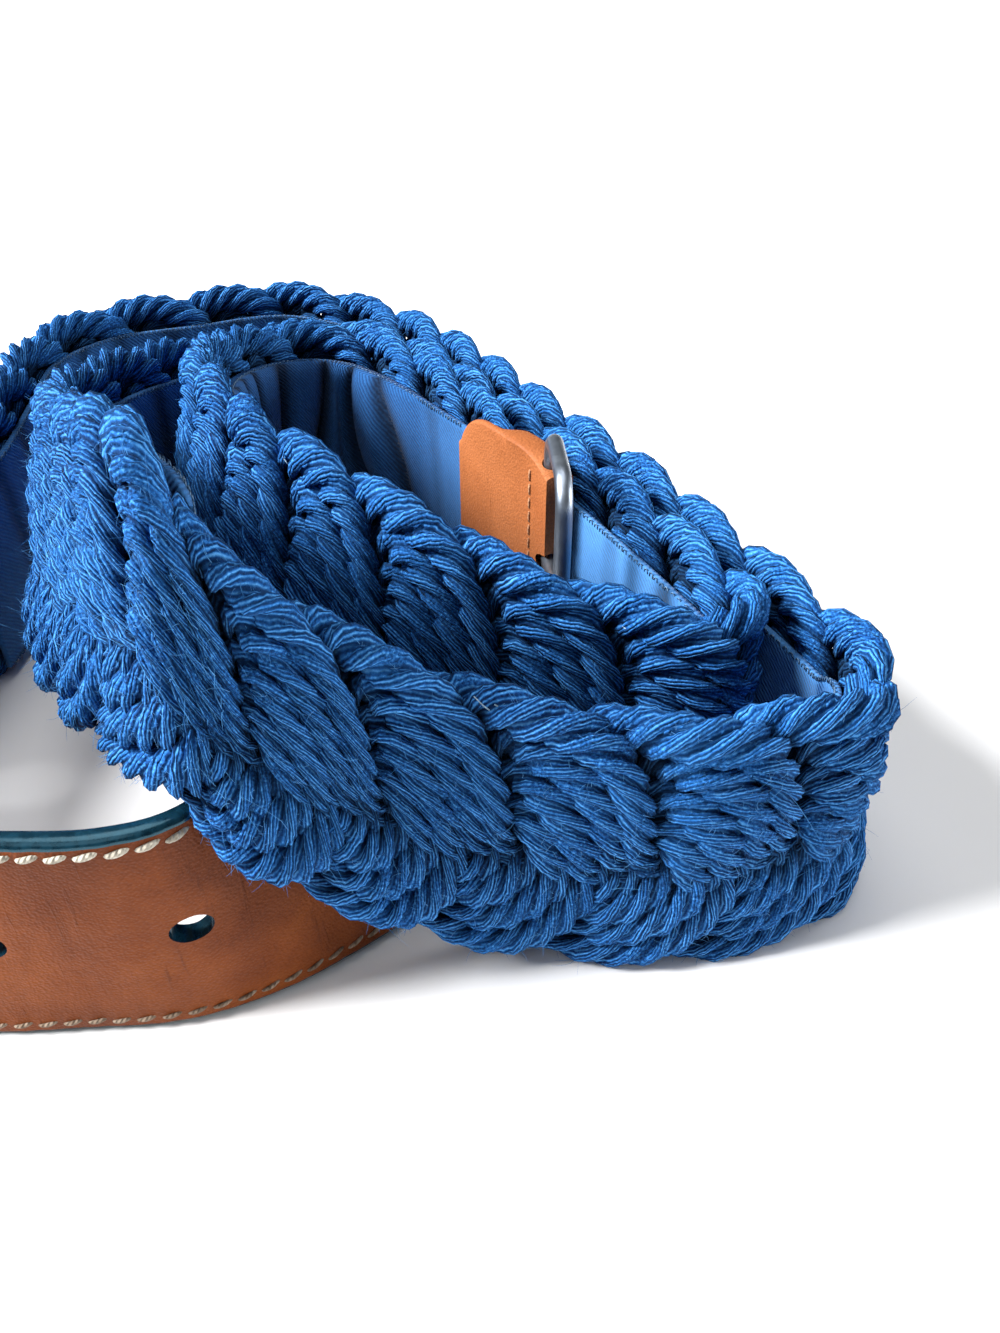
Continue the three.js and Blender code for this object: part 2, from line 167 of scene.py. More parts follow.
def spline(rows, steps):
    """Every point of a Catmull-Rom curve through the rows, evenly spaced in the index."""
    rows = np.array(rows, float)
    full = np.vstack([2 * rows[0] - rows[1], rows, 2 * rows[-1] - rows[-2]])
    t = (np.arange(steps) / steps)[:, None]
    points = []
    for a, b, c, d in zip(full[:-3], full[1:-2], full[2:-1], full[3:]):
        points.append(0.5 * (2 * b + (c - a) * t + (2 * a - 5 * b + 4 * c - d) * t ** 2
                             + (3 * b - a - 3 * c + d) * t ** 3))
    return np.vstack([*points, rows[-1:]])


def lengths(points):
    return np.concatenate([[0], np.cumsum(np.linalg.norm(np.diff(points, axis=0), axis=1))])


def unit(vectors):
    return vectors / np.linalg.norm(vectors, axis=-1, keepdims=True)


def rise(value, start, over):
    """0 up to start, then evenly up to 1."""
    return np.clip((value - start) / over, 0, 1)


def round_off(values, times):
    """Smooths a line or a row of numbers in place; its two ends stay."""
    for _ in range(times):
        values[1:-1] = values[1:-1] * 0.5 + (values[:-2] + values[2:]) * 0.25


def ring_uv(sides, v):
    """u from 0 to 1 around each ring, v from ring to ring."""
    return np.stack(np.broadcast_arrays(np.linspace(0, 1, sides + 1)[None, :], v[:, None]), -1)


class Track:
    """A route measured along its length. side is +1 where the outer face is on the left."""

    def __init__(self, rows, side=1):
        self.points = spline(rows, ROUTE_STEPS)
        self.along = lengths(self.points[:, :3])
        self.length = self.along[-1]
        self.side = side

    def values(self, s):
        s = np.clip(s, 0, self.length)
        return np.stack([np.interp(s, self.along, column) for column in self.points.T], -1)

    def place(self, s, v, w):
        """Points in metres: s along the belt, v up from its lower edge, w out from its middle."""
        s, v, w = np.broadcast_arrays(*(np.asarray(a, float) for a in (s, v, w)))
        here = self.values(s)
        go = unit((self.values(s + GO_REACH) - self.values(s - GO_REACH))[..., :2])
        level = np.stack([-go[..., 1], go[..., 0], 0 * go[..., 0]], -1) * self.side
        lean = np.radians(here[..., 3])[..., None]
        z = np.array([0.0, 0.0, 1.0])
        up = np.cos(lean) * z - np.sin(lean) * level
        out = np.cos(lean) * level + np.sin(lean) * z
        beyond = (s - np.clip(s, 0, self.length))[..., None] * np.concatenate([go, 0 * go[..., :1]], -1)
        return (here[..., :3] + beyond + up * v[..., None] + out * w[..., None] + SHIFT) * MM


band = Track(ROUTE)
strap_track = Track(STRAP_ROUTE, -1)
tab_track = Track(TAB_ROUTE)


def mesh_object(name, points, faces, uvs, materials, kinds, open_to_light):
    """A smooth mesh piece. uvs holds one pair for each corner of each face, kinds the material of each
    face, and the last argument a number for each point that sets painted shade: 0 in grooves, painted darkest, and 1
    in the open, unshaded."""
    mesh = bpy.data.meshes.new(name)
    mesh.from_pydata([tuple(p) for p in np.asarray(points, float)], [], [tuple(f) for f in faces])
    mesh.uv_layers.new(name="UVMap").data.foreach_set("uv", np.asarray(uvs, np.float32).ravel())
    mesh.attributes.new("open_to_light", "FLOAT", "POINT").data.foreach_set("value", open_to_light.astype(np.float32))
    for material in materials:
        mesh.materials.append(material)
    mesh.polygons.foreach_set("material_index", np.asarray(kinds, np.int32))
    mesh.polygons.foreach_set("use_smooth", np.full(len(mesh.polygons), True))
    mesh.update()
    piece = bpy.data.objects.new(name, mesh)
    bpy.context.scene.collection.objects.link(piece)
    return piece


ASKEW = (0.31, 0.17, 0.93)  # no tube runs along it


class Builder:
    """Gathers grids and tubes into one mesh."""

    def __init__(self):
        self.points, self.faces, self.uvs, self.kinds, self.open_to_light = [], [], [], [], []
        self.count = 0

    def grid(self, points, uv, closed=False, caps=False, open_to_light=1.0):
        """points is (rows, columns, 3) and uv (rows, columns [+1 where closed], 2)."""
        rows, columns = points.shape[:2]
        i, j = np.meshgrid(np.arange(rows - 1), np.arange(columns if closed else columns - 1), indexing="ij")
        i, j = i.ravel(), j.ravel()
        k = (j + 1) % columns
        quads = np.stack([i * columns + j, i * columns + k, (i + 1) * columns + k, (i + 1) * columns + j], 1)
        corner = np.stack([uv[i, j], uv[i, j + 1], uv[i + 1, j + 1], uv[i + 1, j]], 1)
        self.faces += (quads + self.count).tolist()
        self.uvs += corner.reshape(-1, 2).tolist()
        self.kinds += [0] * len(quads)
        if caps:
            first = list(range(columns))[::-1]
            last = [(rows - 1) * columns + c for c in range(columns)]
            for ring, at in ((first, 0), (last, rows - 1)):
                self.faces.append([self.count + c for c in ring])
                self.uvs += [list(uv[at, 0])] * len(ring)
                self.kinds.append(0)
        self.points.append(points.reshape(-1, 3))
        # A number for each point that sets painted shade, 1 where none is painted.
        self.open_to_light.append(np.broadcast_to(open_to_light, (rows, columns)).ravel())
        self.count += rows * columns

    def tube(self, line, radius, sides):
        """A closed tube along points in metres; radius is one number or one per point."""
        line = np.asarray(line, float)
        go = unit(np.gradient(line, axis=0))
        one = unit(np.cross(go, ASKEW))
        two = np.cross(go, one)
        turn = np.arange(sides) * 2 * np.pi / sides
        radius = np.broadcast_to(np.asarray(radius, float), (len(line),))[:, None, None]
        ring = (line[:, None] + radius * (np.cos(turn)[None, :, None] * one[:, None]
                                          + np.sin(turn)[None, :, None] * two[:, None]))
        self.grid(ring, ring_uv(sides, lengths(line)), closed=True, caps=True)

    def piece(self, name, materials):
        return mesh_object(name, np.vstack(self.points), self.faces, self.uvs, materials, self.kinds,
                           open_to_light=np.concatenate(self.open_to_light))


# Materials

class Nodes:
    """Shorthand for building one node material."""

    def __init__(self, name):
        self.material = bpy.data.materials.new(name)
        self.material.use_nodes = True
        self.tree = self.material.node_tree
        self.shader = self.tree.nodes["Principled BSDF"]

    def add(self, kind, inputs=(), **settings):
        node = self.tree.nodes.new(kind)
        for key, value in settings.items():
            setattr(node, key, value)
        for key, value in dict(inputs).items():
            self.put(node.inputs[key], value)
        return node

    def put(self, socket, value):
        if isinstance(value, bpy.types.NodeSocket):
            self.tree.links.new(value, socket)
        else:
            socket.default_value = value

    def math(self, operation, a, b=0.0):
        return self.add("ShaderNodeMath", {0: a, 1: b}, operation=operation).outputs[0]

    def wave(self, value):
        """The sine of a value, moved to between 0 and 1."""
        sine = self.math("SINE", value)
        return self.add("ShaderNodeMath", {0: sine, 1: 0.5, 2: 0.5}, operation="MULTIPLY_ADD").outputs[0]

    def between(self, value, low, high):
        return self.add("ShaderNodeMapRange", {"Value": value, "To Min": low, "To Max": high}).outputs[0]

    def noise(self, scale, detail):
        where = self.add("ShaderNodeTexCoord").outputs["Object"]
        return self.add("ShaderNodeTexNoise", {"Vector": where, "Scale": scale, "Detail": detail,
                                               "Roughness": 0.55}).outputs["Fac"]

    def ramp(self, value, *stops):
        node = self.add("ShaderNodeValToRGB", {"Fac": value})
        ramp = node.color_ramp
        while len(ramp.elements) < len(stops):
            ramp.elements.new(0.5)
        for element, (at, colour) in zip(ramp.elements, stops):
            element.position = at
            element.color = (*colour, 1)
        return node.outputs["Color"]

    def grey(self, value, *stops):
        return self.ramp(value, *((at, (shade,) * 3) for at, shade in stops))

    def mix(self, share, one, two, blend="MIX"):
        node = self.add("ShaderNodeMix", data_type="RGBA", blend_type=blend)
        self.put(node.inputs[0], share)
        for socket, value in ((node.inputs[6], one), (node.inputs[7], two)):
            self.put(socket, (*value, 1) if isinstance(value, tuple) else value)
        return node.outputs[2]

    def bump(self, height, distance, strength=1.0, before=None):
        inputs = {"Height": height, "Distance": distance, "Strength": strength}
        if before is not None:
            inputs["Normal"] = before
        return self.add("ShaderNodeBump", inputs).outputs[0]

    def uv(self):
        split = self.add("ShaderNodeSeparateXYZ", {0: self.add("ShaderNodeUVMap", uv_map="UVMap").outputs[0]})
        return split.outputs[0], split.outputs[1]

    # The point attribute of painted shade: 0 in grooves, painted darkest, 1 in the open.
    def open_to_light(self):
        return self.add("ShaderNodeAttribute", attribute_name="open_to_light").outputs["Fac"]

    def finish(self, colour, rough, normal=None, **others):
        self.put(self.shader.inputs["Base Color"], colour)
        self.put(self.shader.inputs["Roughness"], rough)
        if normal is not None:
            self.put(self.shader.inputs["Normal"], normal)
        for key, value in others.items():
            self.put(self.shader.inputs[key.replace("_", " ")], value)
        return self.material


def rope_material():
    """Cotton rope: seven fine yarns across each ply, uneven, fuzzy in places; painted highlight on the yarns' tops
    and painted shade between the yarns, in the valleys between the plies and in the grooves between the ropes.
    """
    n = Nodes("blue_rope")
    around, along = n.uv()
    wander = n.math("ADD", n.math("MULTIPLY", n.math("SUBTRACT", n.noise(420, 2), 0.5), 0.035),
                    n.math("MULTIPLY", n.math("SUBTRACT", n.noise(110, 2), 0.5), 0.05))
    place = n.math("ADD", around, wander)
    yarn = n.wave(n.math("MULTIPLY", place, YARNS * 2 * math.pi))
    ply = n.math("ABSOLUTE", n.math("COSINE", n.math("MULTIPLY", around, PLIES * math.pi)))
    streak = n.add("ShaderNodeCombineXYZ", {0: n.math("MULTIPLY", place, 46), 1: n.math("MULTIPLY", along, 130)})
    uneven = n.add("ShaderNodeTexNoise", {"Vector": streak.outputs[0], "Scale": 1.0, "Detail": 2.0}).outputs["Fac"]
    fibre = n.noise(2600, 3)
    patch = n.noise(55, 3)
    felted = n.grey(n.noise(140, 3), (0.5, 0.0), (0.66, 0.75))
    lines = n.math("ADD", n.math("MULTIPLY", yarn, 0.42), n.math("MULTIPLY", uneven, 0.58))
    shade = n.mix(felted, lines, fibre)
    shade = n.math("ADD", n.math("MULTIPLY", shade, 0.64), n.math("MULTIPLY", fibre, 0.36))
    # Painted highlight and shade: the ramp paints the yarns' tops lighter and the lines between the yarns darker.
    colour = n.ramp(shade, (0.33, (0.0008, 0.007, 0.034)), (0.45, (0.006, 0.05, 0.195)),
                    (0.56, (0.02, 0.14, 0.44)), (0.7, (0.095, 0.35, 0.76)))
    # Painted shade in the valleys between the plies: the colour there is pulled towards near black.
    colour = n.mix(n.grey(ply, (0.0, 0.75), (0.4, 0.0)), colour, (0.001, 0.008, 0.04))
    colour = n.mix(n.grey(patch, (0.35, 0.0), (0.7, 0.25)), colour, (0.02, 0.15, 0.44))
    # Painted shade in the grooves between the ropes: the colour is darkened there down to 0.16 of itself.
    colour = n.mix(1.0, colour, n.grey(n.open_to_light(), (0.0, 0.16), (0.75, 1.0)), "MULTIPLY")
    height = n.math("ADD", n.math("MULTIPLY", yarn, 0.6), n.math("MULTIPLY", fibre, 0.7))
    return n.finish(colour, 0.85, n.bump(height, 0.00036), Sheen_Weight=0.06, Sheen_Roughness=0.5,
                    Sheen_Tint=(0.2, 0.5, 1, 1), Specular_IOR_Level=0.08)


def fuzz_material():
    n = Nodes("blue_fuzz")
    colour = n.ramp(n.noise(90, 2), (0.3, (0.015, 0.12, 0.36)), (0.7, (0.08, 0.3, 0.62)))
    return n.finish(colour, 0.8, Sheen_Weight=0.1, Specular_IOR_Level=0.15)


def twill_material():
    """Fine diagonal ribs; painted light and shade: the cloth is painted lighter, in random patches, along some parts
    of its length where light falls on it, and darker where it lies in shade.
    """
    n = Nodes("blue_twill")
    along, across = n.uv()
    diagonal = n.math("ADD", n.math("MULTIPLY", along, 0.8), across)
    wander = n.math("MULTIPLY", n.noise(300, 2), 0.0008)
    rib = n.wave(n.math("MULTIPLY", n.math("ADD", diagonal, wander), 2 * math.pi / RIB_PITCH))
    thread = n.noise(2400, 2)
    # Random patches of the painted light below.
    patchiness = n.noise(38, 4)
    shade = n.math("ADD", n.math("MULTIPLY", rib, 0.4), n.math("MULTIPLY", thread, 0.6))
    colour = n.ramp(shade, (0.2, (0.003, 0.027, 0.11)), (0.8, (0.016, 0.1, 0.29)))
    # Painted light and shade along the belt: lighter where the lining is lit, darker where it lies in shade.
    lit_stretches = n.grey(n.math("MULTIPLY", along, 1 / 1.1), (0.2, 0.3), (0.3, 0.8), (0.5, 0.15), (0.66, 0.8),
                     (0.74, 0.6), (0.84, 0.05), (0.95, 0.05), (0.985, 0.9))
    patchy_painted_light = n.math("MULTIPLY", n.grey(patchiness, (0.3, 0.45), (0.66, 1.0)), lit_stretches)
    # The lighter colour laid on where light falls: painted light.
    colour = n.mix(patchy_painted_light, colour, (0.085, 0.27, 0.6))
    # Painted shade in the lining's creases: the colour is darkened there down to 0.2 of itself.
    colour = n.mix(1.0, colour, n.grey(n.open_to_light(), (0.0, 0.2), (0.8, 1.0)), "MULTIPLY")
    height = n.math("ADD", rib, n.math("MULTIPLY", thread, 0.5))
    return n.finish(colour, 0.85, n.bump(height, 0.00015), Sheen_Weight=0.05, Specular_IOR_Level=0.1)


def thread_material(name, light, dark):
    n = Nodes(name)
    around, along = n.uv()
    twist = n.math("SINE", n.math("ADD", n.math("MULTIPLY", around, 2 * math.pi * 2),
                                  n.math("MULTIPLY", along, 2 * math.pi / 0.0007)))
    colour = n.ramp(n.noise(900, 2), (0.3, dark), (0.65, light))
    return n.finish(colour, 0.75, n.bump(twist, 0.00008), Specular_IOR_Level=0.3)


def leather_material(name, deep, base, light, crease):
    """Smooth full-grain leather: pebble grain, fine upright creases and slow changes of colour."""
    n = Nodes(name)
    where = n.add("ShaderNodeTexCoord").outputs["Object"]
    pebble = n.add("ShaderNodeTexVoronoi", {"Vector": where, "Scale": 2500.0}, feature="SMOOTH_F1")
    n.put(pebble.inputs["Smoothness"], 0.7)
    grain = pebble.outputs["Distance"]
    along, across = n.uv()
    line = n.add("ShaderNodeCombineXYZ", {0: n.math("MULTIPLY", along, 1000), 1: n.math("MULTIPLY", across, 90)})
    lines = n.add("ShaderNodeTexNoise", {"Vector": line.outputs[0], "Scale": 0.62, "Detail": 4.0,
                                         "Roughness": 0.6}).outputs["Fac"]
    folds = n.grey(lines, (0.3, 1.0), (0.4, 0.0))
    patch = n.noise(60, 4)
    colour = n.ramp(patch, (0.32, deep), (0.52, base), (0.72, light))
    # Painted shade: along the creases the colour darkens towards half the deep tone, by the share crease.
    colour = n.mix(n.math("MULTIPLY", folds, crease), colour, tuple(c * 0.5 for c in deep))
    pores = n.grey(n.noise(2300, 2), (0.4, 0.82), (0.6, 1.0))
    colour = n.mix(0.8, colour, pores, "MULTIPLY")
    normal = n.bump(grain, 0.00014, 0.8)
    normal = n.bump(folds, 0.00018, 0.5, normal)
    return n.finish(colour, n.between(n.noise(150, 3), 0.45, 0.65), normal, Specular_IOR_Level=0.14)


def paint_material():
    """Burnished, painted leather edge."""
    n = Nodes("edge_paint")
    streak = n.noise(700, 3)
    colour = n.ramp(streak, (0.3, (0.001, 0.008, 0.015)), (0.7, (0.005, 0.03, 0.05)))
    return n.finish(colour, n.between(streak, 0.15, 0.27), n.bump(n.noise(500, 2), 0.0001, 0.5),
                    Specular_IOR_Level=0.75, Specular_Tint=(0.4, 0.8, 1, 1))


def metal_material():
    n = Nodes("buckle_metal")
    wear = n.noise(180, 4)
    colour = n.ramp(wear, (0.35, (0.26, 0.3, 0.36)), (0.65, (0.36, 0.41, 0.47)))
    return n.finish(colour, n.between(n.noise(900, 2), 0.34, 0.5), n.bump(n.noise(1400, 2), 0.00004, 0.4),
                    Metallic=1.0)


rope = rope_material()
fuzz = fuzz_material()
twill = twill_material()
paint = paint_material()
metal = metal_material()
strap_leather = leather_material("strap_leather", (0.125, 0.026, 0.0035), (0.185, 0.042, 0.0055),
                                 (0.25, 0.063, 0.0095), 0.35)
tab_leather = leather_material("tab_leather", (0.29, 0.088, 0.027), (0.345, 0.112, 0.037), (0.39, 0.13, 0.045),
                               0.12)
pale_thread = thread_material("pale_thread", (0.5, 0.46, 0.38), (0.27, 0.24, 0.19))
# The foot row's thread, painted darker than the crest's: painted shade.
shaded_thread = thread_material("shaded_thread", (0.25, 0.19, 0.14), (0.12, 0.075, 0.045))
tan_thread = thread_material("tan_thread", (0.5, 0.26, 0.14), (0.32, 0.14, 0.07))
blue_thread = thread_material("blue_thread", (0.16, 0.27, 0.4), (0.03, 0.11, 0.26))
sewing_thread = thread_material("sewing_thread", (0.4, 0.55, 0.66), (0.1, 0.24, 0.4))


def own(piece, slot, *nodes):
    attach(piece, "root")
    if nodes:
        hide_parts(*nodes)


# Ropes of the plait

def rope_line(strand, number, cells):
    """Where one rope runs, in cells to the right, mm over the middle and 0 to 1 from below to on top."""
    rows = []
    for turn in range(-2, cells // 3 + 3):
        start = strand + 3 * turn
        for first, table in ((0, UPPER_ROPES[number]), (1.5, LOWER_ROPES[3 - number])):
            row = [(u + start + first, v, w) for u, v, w in table]
            if rows:
                (u0, v0, _), (u1, v1, _) = rows[-1], row[0]
                rows.append(((u0 + u1) / 2, (v0 + v1) / 2, -0.05))
            rows += row
    return np.array(rows)


def build_ropes():
    """Twelve ropes as three strands of four; each carries four helical plies."""
    cells = int(band.length / CELL_PITCH) + 2
    middle = BAND_WIDTH / 2
    turn = np.arange(RING) * 2 * np.pi / RING
    lobe = np.tile(PLY_PROFILE, PLIES)
    strands = []
    for strand in range(3):
        builder = Builder()
        paths = []
        for number in range(4):
            fine = spline(rope_line(strand, number, cells), ROPE_STEPS)
            s = CELL_START - (fine[:, 0] - CROSS_SHIFT) * CELL_PITCH + CELL_PITCH * cells
            phase = STRAND_PHASE * strand + ROPE_PHASE * number
            v = middle + fine[:, 1] + 0.4 * np.sin(s / 9.3 + phase) * np.sin(s / 41 + phase)
            w = BACK + (FRONT - BACK) * np.clip(fine[:, 2], -0.1, 1.12) + 0.15 * np.sin(s / 7.1 + phase)
            path = np.stack([s, v, w], 1)
            along = lengths(path)
            at = np.arange(0, along[-1], ROPE_STEP)
            path = np.stack([np.interp(at, along, column) for column in path.T], 1)
            round_off(path, 2)
            path = path[(path[:, 0] > BAND_END) & (path[:, 0] < band.length - BAND_END)]
            paths.append(path)
            go = unit(np.gradient(path, axis=0))
            side = unit(np.stack([-go[:, 1], go[:, 0], 0 * go[:, 0]], 1))
            face = np.cross(go, side)
            face *= np.sign(face[:, 2:3])
            run = np.arange(len(path)) * ROPE_STEP
            twist = 2 * np.pi * run / TWIST_PITCH + phase + 0.5 * np.sin(path[:, 0] / 23)
            outermost, others, below = ROPE_HALF_WIDTHS
            wide = np.where(path[:, 1] > middle - 4, others if number else outermost, below)
            round_off(wide, 12)
            full = 1 + CREST_SWELL * rise(path[:, 1] - middle, 14, 3)
            angle = turn[None, :] + twist[:, None]
            across = (wide * full)[:, None] * np.cos(angle) * lobe[None, :]
            depth = ROPE_THICK * full[:, None] * np.sin(angle) * lobe[None, :]
            local = path[:, None] + side[:, None] * across[..., None] + face[:, None] * depth[..., None]
            soft = band.values(path[:, 0])[:, 4]
            points = band.place(local[..., 0], local[..., 1], local[..., 2] * soft[:, None])
            # Painted shade: points at the rope's middle depth, in the grooves between the ropes, get a low number
            # and are painted darker; the tops, the crest and the foot stay open.
            on_face = rise(np.abs(local[..., 2] - 0.4), 1.0, 2.4)
            on_edge = rise(np.abs(local[..., 1] - middle), 18.3, 2.2)
            builder.grid(points, ring_uv(RING, run * MM), closed=True, caps=True,
                         open_to_light=np.maximum(on_face, on_edge))
        piece = builder.piece("plait_strand_" + "abc"[strand], [rope])
        own(piece, "plaited_rope", "braided_band")
        strands.append(paths)
    return strands


strand_paths = build_ropes()


# Fuzz: short fibres that stand off the ropes

HAIR_RADII = (0.00004, 0.00003, 0.00002, 0.00001)  # metres, from the root to the end


def build_fuzz(name, count, low, high, lying):
    """Fibres between low and high along the belt; lying ones curl close over the ropes."""
    builder = Builder()
    all_paths = [path[(path[:, 0] > low) & (path[:, 0] < high)] for paths in strand_paths for path in paths]
    for _ in range(count):
        path = all_paths[rng.integers(len(all_paths))]
        s, v, w = path[rng.integers(len(path))]
        if w < 1.2 and abs(v - BAND_WIDTH / 2) < 15:
            continue
        soft = band.values(s)[4]
        out = np.array([rng.normal(0, 0.5), rng.normal(0, 0.6), 1.0])
        if abs(v - BAND_WIDTH / 2) > 17:
            out[1] += np.sign(v - BAND_WIDTH / 2) * 1.2
        out /= np.linalg.norm(out)
        reach = rng.uniform(0.5, 1.5) if rng.random() < 0.93 else rng.uniform(1.5, 3.2)
        bend = rng.normal(0, 0.6, 3)
        base = np.array([s, v, w]) + out * 1.6
        go = out
        if lying:
            go = np.append(rng.normal(0, 1, 2), 0.3)
            base = np.array([s, v, w]) + out * 2.25
            bend = np.array([-go[1], go[0], -0.5]) * rng.normal(0, 0.8)
        line = np.array([base + (go * t + bend * t * t) * reach for t in (0, 0.35, 0.7, 1)])
        line = band.place(line[:, 0], line[:, 1], line[:, 2] * soft)
        if line[:, 2].min() > 0.0002:
            builder.tube(line, HAIR_RADII, 3)
    piece = builder.piece(name, [fuzz])
    own(piece, "plaited_rope")


build_fuzz("plait_fuzz", 7000, 0, band.length, False)
build_fuzz("plait_lint", 6000, 380, 700, True)
build_fuzz("plait_hairs", 3500, 440, 650, False)


# Lining

def build_lining():
    """Broad soft panels with narrow creases between them, deepest in the innermost turn."""
    along = np.arange(LINING_START, band.length - LINING_END, 0.7)
    rows = np.linspace(LINING_MARGIN, BAND_WIDTH - LINING_CREST, 25)
    s, v = np.meshgrid(along, rows, indexing="ij")
    here = band.values(s)
    face = INNER_FACE * here[..., 4] - LINING_GAP
    height = (v - LINING_MARGIN) / LINING_WIDTH
    inmost = rise(s, INNER_TURN, 25) * rise(band.length - s, 30, 15)
    tilt = (5.5 * np.sin(s / 23) + 3.5 * np.sin(s / 9.1 + 1)) * (1 + 1.6 * inmost)
    place = (s + tilt * (height - 0.6)) / FOLD_PITCH + 0.22 * np.sin(s / 17)
    panel = np.abs(np.sin(np.pi * place)) ** 0.3
    swell = 0.35 + 0.65 * np.sin(np.pi * np.clip(height, 0, 1)) ** 0.6
    depth = here[..., 5] * (1 + 4 * inmost)
    drift = 0.3 * np.sin(s / 4.3 + 5 * height) * np.sin(s / 13) * swell
    back = face - LINING_WALL - depth * panel * swell - np.abs(drift)
    uv = np.stack([s, v], -1) * MM
    loop = np.concatenate([band.place(s, v, back), band.place(s, v, face)[:, ::-1]], 1)
    around = np.concatenate([uv, uv[:, ::-1], uv[:, :1]], 1)
    # Painted shade in the creases: where the pleats are deep, the number falls towards 0 between the panels, and the
    # cloth is painted darker there.
    creased = np.clip(depth, 0, 1)
    open_to_light = np.concatenate([1 - creased + creased * np.clip(1.8 * panel ** 2 - 0.8, 0, 1), np.ones_like(s)], 1)
    builder = Builder()
    builder.grid(loop, around, closed=True, caps=True, open_to_light=open_to_light)
    piece = builder.piece("lining_cloth", [twill])
    own(piece, "twill", "twill_lining")
    return piece


lining = build_lining()


def build_loops():
    """Loops that sew the lining's edges to the plait."""
    builder = Builder()
    s = LINING_START + 2
    while s < band.length - 14:
        for edge, sign in ((BAND_WIDTH - LINING_CREST, 1), (LINING_MARGIN, -1)):
            values = band.values(s)
            back = INNER_FACE * values[4] - LINING_GAP - LINING_WALL - values[5] * 0.35
            turn = np.linspace(-0.3, math.pi + 0.3, 6)
            across = s + np.cos(turn) * 0.5 + rng.normal(0, 0.1)
            up = edge + sign * (np.sin(turn) * rng.uniform(0.5, 0.8) - 0.3)
            builder.tube(band.place(across, up, back - 0.12), 0.0001, 4)
        s += 1.6
    piece = builder.piece("lining_edge_stitches", [blue_thread])
    own(piece, "twill")
    return piece


loops = build_loops()


def build_thread_glimpses():
    """Pale thread ends that show in the notches of the upper edge."""
    builder = Builder()
    s = CELL_START
    while s < band.length - 30:
        for _ in range(3):
            base = [s + rng.normal(0, 1.2), BAND_WIDTH - 1.6 - abs(rng.normal(0, 0.8)), 2.2 + rng.normal(0, 0.3)]
            go = rng.normal(0, 1, 3) * np.array([1.2, 0.8, 0.4])
            line = base + np.array([0 * go, go * 0.4 + [0, 0, 0.25], go])
            builder.tube(band.place(*line.T), 0.00009, 4)
        s += CELL_PITCH
    piece = builder.piece("plait_sewing_thread", [sewing_thread])
    own(piece, "plaited_rope")


build_thread_glimpses()


# Leather strap

def strap_outline(s, long):
    """Half of the strap's width at s, with the tip rounded off."""
    tip = np.clip(1 - (long - s) / TIP_LENGTH, 0, 1)
    return STRAP_WIDTH / 2 - (STRAP_WIDTH / 2 - TIP_HALF_WIDTH) * tip ** 1.6


def flat_section(half, middle, inner, outer, rim, on_face, on_edge):
    """Corners round a flat strap with rounded edges, each a height and a depth: inner face, upper edge,
    outer face, lower edge."""
    faces = np.linspace(-half + rim, half - rim, on_face)
    turn = np.linspace(-math.pi / 2, math.pi / 2, on_edge + 2)[1:-1]
    centre, deep = (outer + inner) / 2, (outer - inner) / 2
    ring = [(middle + f, inner) for f in faces]
    ring += [(middle + half - rim + rim * math.cos(t), centre + deep * math.sin(t)) for t in turn]
    ring += [(middle + f, outer) for f in faces[::-1]]
    return ring + [(middle - half + rim - rim * math.cos(t), centre - deep * math.sin(t)) for t in turn]


def leather_body(track, stations, rings, crease=0.0):
    """A builder with one ring of corners laid at each station of a track."""
    s = np.broadcast_to(stations[:, None], rings.shape[:2])
    uv = np.stack([s, rings[..., 0]], -1) * MM
    builder = Builder()
    builder.grid(track.place(s, rings[..., 0], rings[..., 1] + crease),
                 np.concatenate([uv, uv[:, :1]], 1), closed=True, caps=True)
    return builder


def fix_normals(piece, weld=False):
    """Turns a closed mesh's faces outward, with its seams joined first where asked."""
    work = bmesh.new()
    work.from_mesh(piece.data)
    if weld:
        bmesh.ops.remove_doubles(work, verts=work.verts, dist=1e-6)
    bmesh.ops.recalc_face_normals(work, faces=work.faces)
    work.to_mesh(piece.data)
    work.free()


def cut_away(piece, *cutters, material_mode="INDEX"):
    """Takes the cutters out of a piece, and removes them; the cuts' edges stay sharp."""
    fix_normals(piece)
    for cutter in cutters:
        fix_normals(cutter)
        cut = piece.modifiers.new(cutter.name, "BOOLEAN")
        cut.operation, cut.object, cut.solver = "DIFFERENCE", cutter, "EXACT"
        cut.material_mode = material_mode
    mesh = bpy.data.meshes.new_from_object(piece.evaluated_get(bpy.context.evaluated_depsgraph_get()))
    piece.modifiers.clear()
    mesh.set_sharp_from_angle(angle=SHARP_ANGLE)
    piece.data = mesh
    for cutter in cutters:
        bpy.data.objects.remove(cutter)


